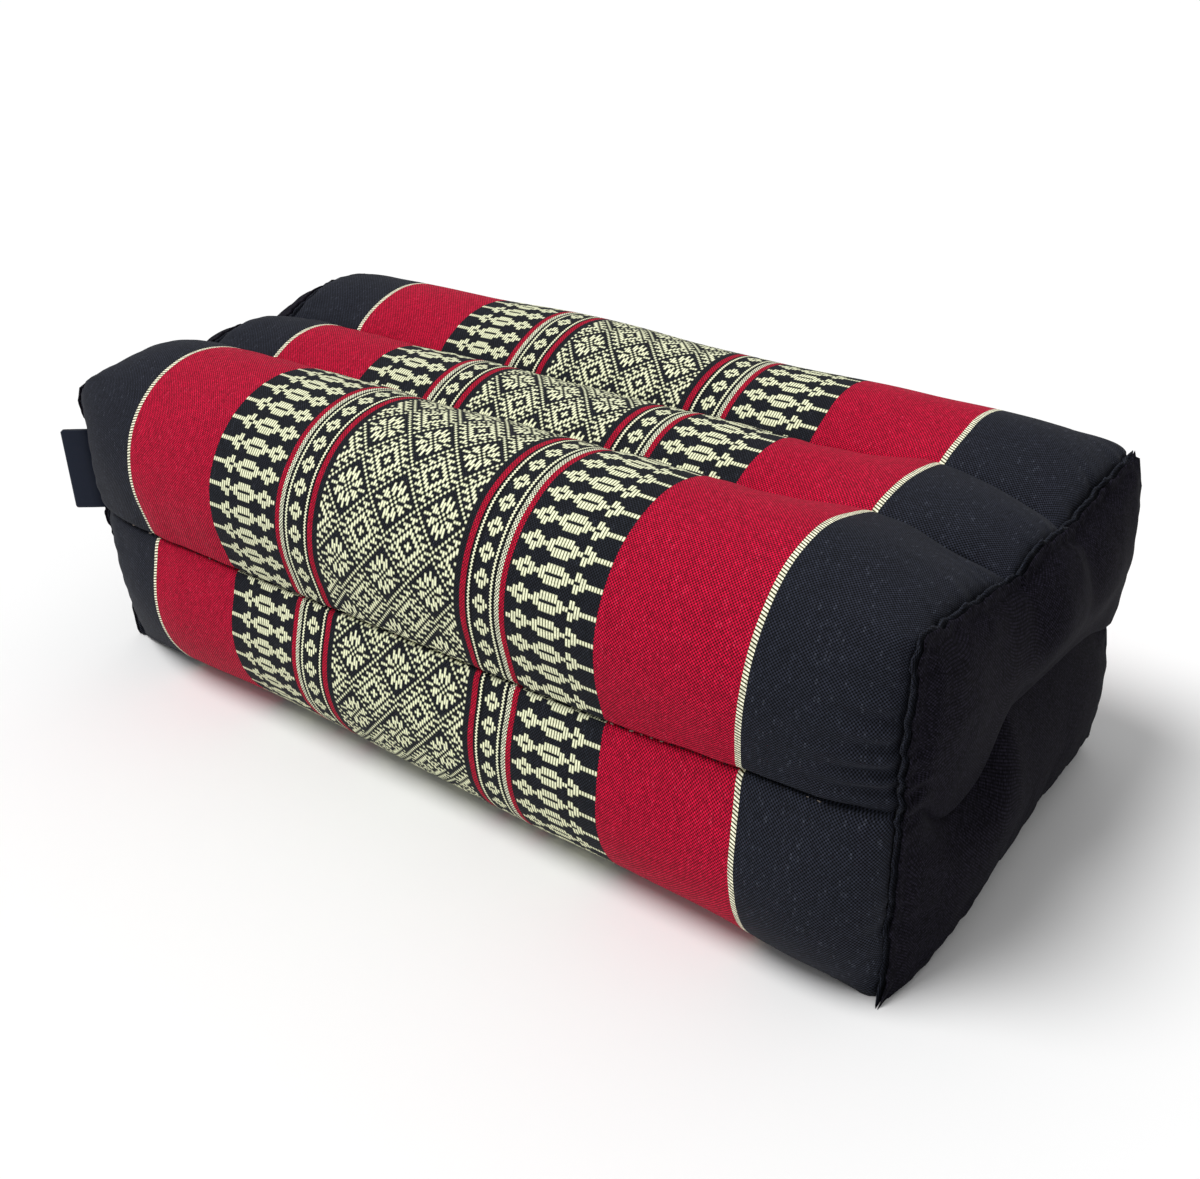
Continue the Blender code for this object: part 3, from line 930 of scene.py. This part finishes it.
# The star panel's cells, read from the chart: a row's number holds one bit for each column. Read a
# little higher and lower too, they tell where a float ends.
column = add(tree, "MULTIPLY", x_mm, 1 / COLUMN_MM)
column_up = add(tree, "ADD", column, 0.5)
star_column = add(tree, "PINGPONG", add(tree, "FLOOR", column_up), len(STAR_CHART[0]) - 1)
star_bit = add(tree, "POWER", 2, star_column)
row = add(tree, "MULTIPLY", add(tree, "ADD", v_mm, -STAR_START_MM), 1 / ROW_MM)
star_masks = []
for shift in (0.5, 0.5 - STAR_END_ROWS, 0.5 + STAR_END_ROWS):
    cell_row = add(tree, "FLOOR", add(tree, "ADD", row, shift))
    chart_row = add(tree, "PINGPONG", cell_row, len(STAR_CHART) - 1)
    place = add(tree, "MULTIPLY", add(tree, "ADD", chart_row, 0.5), 1 / len(STAR_CHART))
    ramp = add(tree, "ShaderNodeValToRGB", place)
    stops = ramp.node.color_ramp
    stops.interpolation = "CONSTANT"
    for number, cells in enumerate(STAR_CHART):
        bits = sum(2 ** i for i, cell in enumerate(cells) if cell == "#") / 2 ** len(cells)
        stop = stops.elements[0] if number == 0 else stops.elements.new(number / len(STAR_CHART))
        stop.color = (bits, bits, bits, 1)
    stops.elements.remove(stops.elements[-1])
    value = add(tree, "ADD", add(tree, "MULTIPLY", ramp, 2 ** len(STAR_CHART[0])), 0.5)
    shifted = add(tree, "FLOOR", add(tree, "DIVIDE", value, star_bit))
    star_masks.append(add(tree, "MODULO", shifted, 2))
in_star = add(tree, "LESS_THAN", column, STAR_HALF_COLUMNS)
star = add(tree, "MULTIPLY", star_masks[0], in_star)
star_end = add(tree, "MULTIPLY", star_masks[1], star_masks[2])

# The flowers and branches: a float covers its column up to its reach, but for the holes
cell = add(tree, "ADD", add(tree, "FLOOR", column), 0.5 - FLOAT_FIRST)
reach = add(tree, "ShaderNodeValToRGB", add(tree, "MULTIPLY", cell, 1 / FLOAT_SPAN))
stops = reach.node.color_ramp
stops.interpolation = "CONSTANT"
stops.elements[0].color = (0, 0, 0, 1)
for first, reach_mm in FLOAT_RUNS:
    stop = stops.elements.new((first - FLOAT_FIRST) / FLOAT_SPAN)
    stop.color = (reach_mm, reach_mm, reach_mm, 1)
stops.elements.remove(stops.elements[-1])
from_row = add(tree, "PINGPONG", add(tree, "ADD", v_mm, -FLOWER_START_MM), REPEAT_MM / 2)
inside = add(tree, "SUBTRACT", reach, from_row)
float_on = add(tree, "GREATER_THAN", inside, 0.0)
tall = add(tree, "GREATER_THAN", reach, HOLED_REACH_MM)
hole = add(tree, "LESS_THAN", from_row, HOLE_MM)
holed = add(tree, "SUBTRACT", 1, add(tree, "MULTIPLY", tall, hole))
branch = add(tree, "MULTIPLY", float_on, holed)
from_hole = add(tree, "SUBTRACT", from_row, HOLE_MM)
hole_edge = add(tree, "ADD", from_hole, add(tree, "SUBTRACT", 1, tall))
branch_edge = add(tree, "ShaderNodeMapRange", add(tree, "MINIMUM", inside, hole_edge), 0.0,
                  BRANCH_END_MM, 0.0, 1.0)

# Which cream float lies on top, and the round of its thread across and at its ends, from 0 to 1
cream = add(tree, "MAXIMUM", star, branch)
star_round = add(tree, "SUBTRACT", add(tree, "FRACT", column_up), 0.5)
branch_round = add(tree, "SUBTRACT", add(tree, "FRACT", column), 0.5)
branch_round = add(tree, "MULTIPLY", branch_round, THINNER_BRANCH)
off_middle = add(tree, "ShaderNodeMix", {"Factor": in_star, 2: branch_round, 3: star_round})
across_float = add(tree, "ABSOLUTE", off_middle)
crest = add(tree, "ShaderNodeMapRange", across_float, 0.52, 0.30, 0.0, 1.0,
            interpolation_type="SMOOTHSTEP")
ends = add(tree, "ShaderNodeMix", {"Factor": in_star, 2: branch_edge, 3: star_end})
ends_half = add(tree, "ADD", add(tree, "MULTIPLY", ends, 0.5), 0.5)
float_height = add(tree, "MULTIPLY", crest, ends_half)

# The thin zigzag lines, each one thread that steps from side to side
zig = add(tree, "MULTIPLY", weft_wave, ZIGZAG_STEP_MM)
for middle_mm in ZIGZAGS_MM:
    off = add(tree, "ADD", add(tree, "ADD", x_mm, -middle_mm), zig)
    on = add(tree, "ShaderNodeMapRange", add(tree, "ABSOLUTE", off), *ZIGZAG_EDGE_MM, 0.0, 1.0)
    cream = add(tree, "MAXIMUM", cream, on)
    float_height = add(tree, "MAXIMUM", float_height, on)

# The floats and zigzag lines carry painted shade: dark olive at their edges and ends, where they round
# away, and bright cream on their crests
cream_with_painted_shade = add(tree, "ShaderNodeMix", {"Factor": float_height, 6: linear("#3E4720"),
                                           7: linear("#FAFCD6")}, output=2, data_type="RGBA")
patterned = add(tree, "ShaderNodeMix", {"Factor": cream, 6: shaded, 7: cream_with_painted_shade}, output=2,
                data_type="RGBA")
coloured = add(tree, "ShaderNodeVectorMath", patterned, slub_shade, operation="MULTIPLY")

# The relief that the eye sees: the ribs of the weave, with the floats lying on them
RIB_RELIEF, FLOAT_RELIEF = 0.3, 1.6
ribs = add(tree, "MULTIPLY", weave, RIB_RELIEF)
floats = add(tree, "MULTIPLY", add(tree, "MULTIPLY", cream, float_height), FLOAT_RELIEF)
bump = add(tree, "ShaderNodeBump", {"Strength": 0.7, "Distance": 0.00016,
                                    "Height": add(tree, "ADD", ribs, floats)})
shader = add(tree, "ShaderNodeBsdfPrincipled",
             {"Base Color": coloured, "Roughness": 0.85, "Specular IOR Level": 0.12,
              "Sheen Weight": 0.03, "Sheen Roughness": 0.4, "Normal": bump})
add(tree, "ShaderNodeOutputMaterial", shader)

cushion = build_cushion()
cushion.data.materials.append(brocade)
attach(cushion, "root")
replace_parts(cushion, "cushion")

# The stitches that close the two side seams. A dark cotton thread comes up out of the tuck about
# every 3.3 mm, uneven in size and direction, and here and there a bit of it is worn pale.
STITCH_PITCH = 0.0033
STITCH_LENGTH = 0.0013
STITCH_THICK = 0.0004
STITCH_SIZES = (0.35, 0.65)
STITCH_TILT = 0.25
WORN_SHARE = 0.2

# How far the stitches stand out from the bottom of the tuck, how far from the cushion's middle they
# end, and how near to the side seam's own line the tuck lies
STITCH_OUT = 0.0035
STITCH_END_X = 0.150
TUCK_WITHIN_Y, TUCK_WITHIN_Z = 0.02, 0.006

# Dark sewing thread, dull as cotton is, which shows only as specks in the seam
thread, tree = bare_material("dark sewing thread")
pale = add(tree, "ShaderNodeAttribute", output=2, attribute_name="pale")
colour = add(tree, "ShaderNodeMix", {"Factor": pale, 6: linear("#14141A"), 7: linear("#857A70")},
             output=2, data_type="RGBA")
shader = add(tree, "ShaderNodeBsdfPrincipled",
             {"Base Color": colour, "Roughness": 0.7, "Specular IOR Level": 0.15})
add(tree, "ShaderNodeOutputMaterial", shader)

stitching = bpy.data.node_groups.new("stitches along a seam", "GeometryNodeTree")
sockets = {name: stitching.interface.new_socket(name, in_out="INPUT", socket_type="NodeSocket" + kind)
           for name, kind in (("Seam", "Geometry"), ("Pitch", "Float"), ("Length", "Float"),
                              ("Thickness", "Float"), ("Seed", "Int"), ("Thread", "Material"))}
stitching.interface.new_socket("Stitches", in_out="OUTPUT", socket_type="NodeSocketGeometry")
given = add(stitching, "NodeGroupInput").node.outputs
path = add(stitching, "GeometryNodeMeshToCurve", {"Mesh": given["Seam"]})
points = add(stitching, "GeometryNodeResampleCurve", {"Curve": path, "Length": given["Pitch"]},
             mode="LENGTH")
along = add(stitching, "FunctionNodeAlignRotationToVector",
            {"Vector": add(stitching, "GeometryNodeInputTangent")}, axis="X")
tilt = add(stitching, "FunctionNodeRandomValue",
           {0: (0, -STITCH_TILT, -STITCH_TILT), 1: (0, STITCH_TILT, STITCH_TILT),
            "Seed": given["Seed"]}, data_type="FLOAT_VECTOR")
turned = add(stitching, "FunctionNodeRotateRotation",
             {"Rotation": along, "Rotate By": add(stitching, "FunctionNodeEulerToRotation", tilt)})
uneven = add(stitching, "FunctionNodeRandomValue",
             {2: STITCH_SIZES[0], 3: STITCH_SIZES[1], "Seed": given["Seed"]}, output=1)
half_length = add(stitching, "MULTIPLY", given["Length"], uneven)
radius = add(stitching, "MULTIPLY", given["Thickness"], uneven)
bit = add(stitching, "GeometryNodeMeshIcoSphere", {"Radius": 1.0, "Subdivisions": 2})
placed = add(stitching, "GeometryNodeInstanceOnPoints",
             {"Points": points, "Instance": bit, "Rotation": turned,
              "Scale": add(stitching, "ShaderNodeCombineXYZ", half_length, radius, radius)})
worn = add(stitching, "FunctionNodeRandomValue", {"Probability": WORN_SHARE, "Seed": given["Seed"]},
           output=3, data_type="BOOLEAN")
marked = add(stitching, "GeometryNodeStoreNamedAttribute",
             {"Geometry": placed, "Name": "pale", "Value": worn}, domain="INSTANCE", data_type="FLOAT")
real = add(stitching, "GeometryNodeRealizeInstances", {"Geometry": marked})
finished = add(stitching, "GeometryNodeSetMaterial", {"Geometry": real, "Material": given["Thread"]})
add(stitching, "NodeGroupOutput", finished)


def build_stitches(name, place, side, seed):
    """The stitches along the side seam at that place of the wrap's rings, as one plain mesh."""
    vertices = cushion.data.vertices
    # The rings' vertices come first. Those of the ends lie too far out to count as the tuck.
    tuck = [vertices[start + place].co for start in range(0, len(vertices) - RING, RING)]
    seam = [point + Vector((0, side * STITCH_OUT, 0)) for point in tuck
            if abs(abs(point.y) - SIDE_SEAM_Y) < TUCK_WITHIN_Y and abs(point.x) < STITCH_END_X
            and abs(point.z - SIDE_SEAM_Z) < TUCK_WITHIN_Z]
    mesh = bpy.data.meshes.new(name)
    mesh.from_pydata(seam, [(i, i + 1) for i in range(len(seam) - 1)], [])
    piece = bpy.data.objects.new(name, mesh)
    bpy.context.scene.collection.objects.link(piece)
    made = piece.modifiers.new("stitches", "NODES")
    made.node_group = stitching
    values = {"Pitch": STITCH_PITCH, "Length": STITCH_LENGTH, "Thickness": STITCH_THICK, "Seed": seed,
              "Thread": thread}
    for socket, value in values.items():
        made[sockets[socket].identifier] = value
    depsgraph = bpy.context.evaluated_depsgraph_get()
    plain = bpy.data.meshes.new_from_object(piece.evaluated_get(depsgraph))
    piece.modifiers.clear()
    piece.data = plain
    plain.shade_smooth()
    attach(piece, "root")


build_stitches("stitches_front", place=0, side=-1, seed=3)
build_stitches("stitches_back", place=PLACES.index((BACK_LOWER, 0.0)), side=1, seed=8)

# The end panels. Each is one piece of plain black cotton, stretched over the ends of the channels.
# It is sewn to the wrap from outside, and its turned edge makes the outer of the seam's two lips.
PANEL_THICK = 0.0016
PANEL_GAP = 0.0003
PANEL_LIP = ((0.00032, 0.20), (0.0004, 0.50), (0.0006, 0.82), (0.0009, 1.0), (0.0012, 0.96),
             (0.0015, 0.75), (0.0016, 0.45), (0.0018, 0.15))
PANEL_SHADES = (0.40, 1.60)

# Plain black cotton in the wrap's own plain weave, which gives a dull surface with a faint grain
black_cotton, tree = bare_material("plain black cotton")
cloth = add(tree, "ShaderNodeSeparateXYZ", add(tree, "ShaderNodeUVMap", uv_map="Weave"))
u_mm, v_mm = (add(tree, "MULTIPLY", way, 1000) for way in (cloth, cloth.node.outputs["Y"]))
_, weave, weft_with_shade, _, crests = plain_weave(tree, u_mm, v_mm)
shade = add(tree, "ShaderNodeMapRange", crests, 0.0, 1.0, *PANEL_SHADES)
# Between the warp crests the darker weft colour is painted shade of the gaps between the threads
ground = add(tree, "ShaderNodeMix", {"Factor": weft_with_shade, 6: linear("#1D1B25"), 7: linear("#0A090D")},
             output=2, data_type="RGBA")
coloured = add(tree, "ShaderNodeVectorMath", ground, shade, operation="MULTIPLY")
bump = add(tree, "ShaderNodeBump", {"Strength": 0.35, "Distance": 0.00008, "Height": weave})
shader = add(tree, "ShaderNodeBsdfPrincipled",
             {"Base Color": coloured, "Roughness": 0.85, "Specular IOR Level": 0.05, "Normal": bump})
add(tree, "ShaderNodeOutputMaterial", shader)


def ways_along(points):
    """How far each point of a line lies from its middle one, along the line."""
    ways = [0.0]
    for before, after in zip(points, points[1:]):
        ways.append(ways[-1] + (after - before).length)
    return [way - ways[len(ways) // 2] for way in ways]


def build_end_panel(name, end):
    """The end cloth as a thin closed sheet with its turned lip."""
    bm = bmesh.new()
    inner = add_grid(bm, end_surface(end, PANEL_GAP))
    ring = grid_rim(inner)
    for past_seam, rise in PANEL_LIP:
        outer_ring = [bm.verts.new(point) for point in lip_ring(end, past_seam, rise)]
        join_rings(bm, ring, outer_ring)
        ring = outer_ring
    outer = add_grid(bm, end_surface(end, PANEL_GAP + PANEL_THICK))
    join_rings(bm, ring, grid_rim(outer))
    rows = end_surface(end, PANEL_GAP + PANEL_THICK, creased=False)
    across = [ways_along(row) for row in rows]
    up = [ways_along(column) for column in zip(*rows)]
    on_cloth = {vert: (across[j][i], up[i][j])
                for j, verts in enumerate(outer) for i, vert in enumerate(verts)}
    weave_map = bm.loops.layers.uv.new("Weave")
    for face in bm.faces:
        flat = all(vert in on_cloth for vert in face.verts)
        for loop in face.loops:
            point = loop.vert.co
            loop[weave_map].uv = on_cloth[loop.vert] if flat else (point.y, point.z + abs(point.x))
    panel = finish_mesh(name, bm)
    panel.data.materials.append(black_cotton)
    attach(panel, "root")
    return panel


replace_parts(build_end_panel("end_cloth_left", LEFT_END), "end_panel_left")
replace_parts(build_end_panel("end_cloth_right", RIGHT_END), "end_panel_right")

# The label. A short length of smooth navy tape is folded double, and both of its ends are caught in
# the front upright seam of the left end. It is left plain.

# Its lower and upper edge, how far it reaches, its rounded corners, how far outside the seam's line
# it starts, how it is turned, and how much its two layers swell apart in the middle
LABEL_LOW_Z = 0.0560
LABEL_HIGH_Z = 0.0866
LABEL_REACH = 0.0131
LABEL_CORNER = 0.0012
LABEL_FOOT = 0.0025
LABEL_TURN = math.radians(38)
LABEL_SWELL = 1.1

# The tape, and the steps round its fold and from its lower edge to its upper one
TAPE_THICK = 0.0005
FOLD_RADIUS = 0.0008
FOLD_STEPS = 8
EDGE_STEPS = 40
RIB_MM = 0.45

# Satin-woven tape, smoother than the cotton, with a low gloss and fine ribs along its edges
satin, tree = bare_material("navy woven satin tape")
place = add(tree, "ShaderNodeSeparateXYZ", add(tree, "ShaderNodeTexCoord", output=3))
ribs = add(tree, "SINE", add(tree, "MULTIPLY", place.node.outputs["Z"], 2000 * math.pi / RIB_MM))
bump = add(tree, "ShaderNodeBump", {"Strength": 0.4, "Distance": 0.00004, "Height": ribs})
shader = add(tree, "ShaderNodeBsdfPrincipled",
             {"Base Color": linear("#09152A"), "Roughness": 0.5, "Specular IOR Level": 0.2,
              "Sheen Weight": 0.02, "Normal": bump})
add(tree, "ShaderNodeOutputMaterial", shader)


def build_label():
    """The folded tape as one closed band, seen from above as a narrow loop."""
    outline = []
    flat_length = LABEL_REACH - FOLD_RADIUS - TAPE_THICK
    for radius in (FOLD_RADIUS, FOLD_RADIUS - TAPE_THICK):
        side = [(0.0, radius), (flat_length / 2, radius * LABEL_SWELL), (flat_length, radius)]
        turn = [(flat_length + radius * math.sin(math.pi * step / FOLD_STEPS),
                 radius * math.cos(math.pi * step / FOLD_STEPS)) for step in range(1, FOLD_STEPS)]
        back = [(x, -y) for x, y in side[::-1]]
        outline.append(side + turn + back)
    loop = outline[0] + outline[1][::-1]
    bm = bmesh.new()
    rings = []
    for step in range(EDGE_STEPS + 1):
        z = between(LABEL_LOW_Z, LABEL_HIGH_Z, (1 - math.cos(math.pi * step / EDGE_STEPS)) / 2)
        from_edge = min(z - LABEL_LOW_Z, LABEL_HIGH_Z - z, LABEL_CORNER)
        shrink = LABEL_CORNER - math.sqrt(LABEL_CORNER ** 2 - (LABEL_CORNER - from_edge) ** 2)
        ring = []
        for along, off in loop:
            reach = min(along, flat_length + FOLD_RADIUS - shrink)
            x = -END_SEAM_X - reach * math.cos(LABEL_TURN) - off * math.sin(LABEL_TURN)
            y = -(END_HALF_WIDTH + LABEL_FOOT) - reach * math.sin(LABEL_TURN)
            y += off * math.cos(LABEL_TURN)
            ring.append(bm.verts.new((x, y, z)))
        rings.append(ring)
    for ring, other in zip(rings, rings[1:]):
        join_rings(bm, ring, other)
    count = len(outline[0])
    for ring in (rings[0], rings[-1]):
        outer, inner = ring[:count], ring[count:][::-1]
        for a, b, c, d in zip(outer, outer[1:], inner[1:], inner):
            bm.faces.new((a, b, c, d))
    return finish_mesh("label_tape", bm)


label = build_label()
label.data.materials.append(satin)
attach(label, "root")
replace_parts(label, "label")

# A plain floor of matt white paper for the photograph's white ground, which shows nothing but a soft
# shadow, with broad soft light from above
FLOOR_SIZE = 8.0
FLOOR_Z = -0.0002
SKY_STRENGTH = 0.40
bm = bmesh.new()
bmesh.ops.create_grid(bm, x_segments=1, y_segments=1, size=FLOOR_SIZE)
floor = finish_mesh("floor", bm)
floor.location.z = FLOOR_Z
paper, tree = bare_material("white studio paper")
shader = add(tree, "ShaderNodeBsdfPrincipled", {"Base Color": linear("#F4F4F4"), "Roughness": 0.9})
add(tree, "ShaderNodeOutputMaterial", shader)
floor.data.materials.append(paper)

world = bpy.data.worlds.new("studio")
bpy.context.scene.world = world
world.use_nodes = True
sky = world.node_tree.nodes["Background"]
sky.inputs["Color"].default_value = (1, 1, 1, 1)
sky.inputs["Strength"].default_value = SKY_STRENGTH

Lamp = namedtuple("Lamp", "name towards power softness")
for lamp in (Lamp("key", (0.38, 0.36, -1.0), 2.35, 30), Lamp("fill", (0.1, -0.6, -0.9), 0.35, 60)):
    light = bpy.data.lights.new(lamp.name, "SUN")
    light.energy = lamp.power
    light.angle = math.radians(lamp.softness)
    holder = bpy.data.objects.new(lamp.name, light)
    holder.rotation_euler = Vector(lamp.towards).to_track_quat("-Z", "Y").to_euler()
    bpy.context.scene.collection.objects.link(holder)

# The camera, as it was fitted to the photograph's stripe lines, seams and outline
AZIMUTH = math.radians(38.17)
ELEVATION = math.radians(27.88)
ROLL = math.radians(-1.06)
AIM = Vector((0, 0, 0.053857))
SHIFT = (0.010121, -0.012907)
DISTANCE = 0.470971
FOCAL_PIXELS = 1351
PICTURE_WIDTH = 1200
SENSOR = 36
back = Vector((math.sin(AZIMUTH) * math.cos(ELEVATION), -math.cos(AZIMUTH) * math.cos(ELEVATION),
               math.sin(ELEVATION)))
right = Vector((0, 0, 1)).cross(back).normalized()
up = back.cross(right)
camera_x = right * math.cos(ROLL) + up * math.sin(ROLL)
camera_y = up * math.cos(ROLL) - right * math.sin(ROLL)
stand = Matrix((camera_x, camera_y, back)).transposed().to_4x4()
stand.translation = AIM + back * DISTANCE + camera_x * SHIFT[0] + camera_y * SHIFT[1]
lens = bpy.data.cameras.new("camera")
lens.sensor_fit = "HORIZONTAL"
lens.sensor_width = SENSOR
lens.lens = SENSOR * FOCAL_PIXELS / PICTURE_WIDTH
camera = bpy.data.objects.new("camera", lens)
camera.matrix_world = stand
bpy.context.scene.collection.objects.link(camera)
bpy.context.scene.camera = camera

bpy.context.scene.view_settings.view_transform = "Standard"
bpy.context.view_layer.update()
